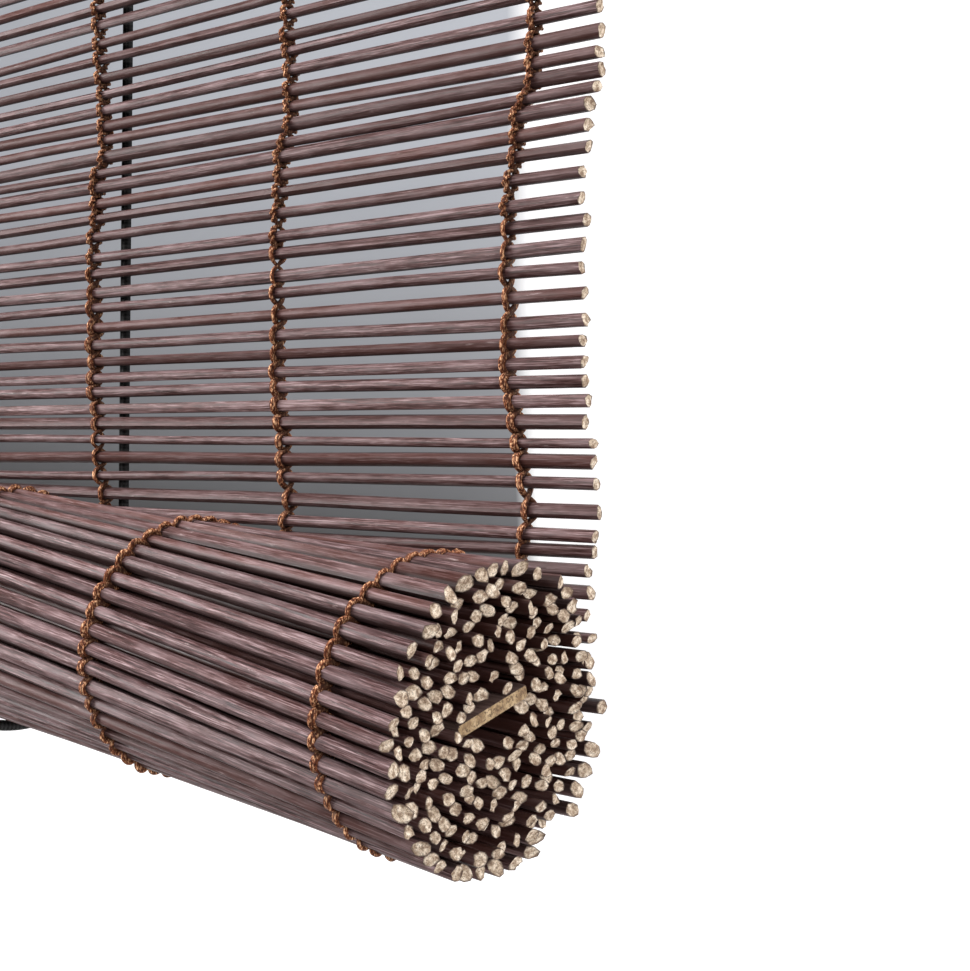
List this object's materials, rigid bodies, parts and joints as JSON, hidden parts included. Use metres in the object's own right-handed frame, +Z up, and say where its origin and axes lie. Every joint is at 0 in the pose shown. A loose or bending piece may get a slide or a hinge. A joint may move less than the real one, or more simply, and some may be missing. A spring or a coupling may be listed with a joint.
{
  "type": "bamboo roll up blind",
  "caption": "Roll up blind of dark stained bamboo reeds tied with brown twine, hung from a wall rail, its lower part rolled up and held by lift cords over small pulleys.",
  "frame": {"origin": "between the two wall screw holes, on the rear face of the head rail", "axes": "+X right along the reeds as seen from the front, +Y back to the wall, +Z up; the front faces -Y"},
  "size_m": [0.5928, 0.0861, 0.3496],
  "materials": {
    "stained_rail": "dark stained, satin",
    "stained_reed": "dark stained bamboo, satin, pale cut ends",
    "slat_wood": "plain pale lath",
    "brown_twine": "two-strand twisted twine",
    "black_cord": "braided cord",
    "bracket_steel": "pressed sheet",
    "sheave_brass": "turned",
    "fixing_steel": "plain"
  },
  "bodies": {
    "root": {"head_rail": "stained_rail", "clamp_strip": "stained_rail", "clamp_nails": "fixing_steel", "bracket_screws": "fixing_steel", "hanging_mat": "stained_reed", "rolled_mat": "stained_reed", "bottom_slat": "slat_wood", "warp_twine_1": "brown_twine", "warp_twine_2": "brown_twine", "warp_twine_3": "brown_twine", "warp_twine_4": "brown_twine", "warp_twine_5": "brown_twine", "warp_twine_6": "brown_twine", "warp_twine_7": "brown_twine", "warp_twine_8": "brown_twine", "lift_cord_left": "black_cord", "pulley_bracket_left": "bracket_steel", "sheave_pin_left": "fixing_steel", "lock_pin_left": "fixing_steel", "lift_cord_right": "black_cord", "pulley_bracket_right": "bracket_steel", "sheave_pin_right": "fixing_steel", "lock_pin_right": "fixing_steel"},
    "sheave_left": {"sheave_left": "sheave_brass"},
    "sheave_right": {"sheave_right": "sheave_brass"}
  },
  "joints": [
    {"name": "left_sheave_spin", "type": "hinge", "parent": "root", "child": "sheave_left", "pos_m": [-0.124, -0.031, 0.006], "axis": [1, 0, 0], "continuous": true},
    {"name": "right_sheave_spin", "type": "hinge", "parent": "root", "child": "sheave_right", "pos_m": [0.124, -0.031, 0.006], "axis": [1, 0, 0], "continuous": true}
  ]
}
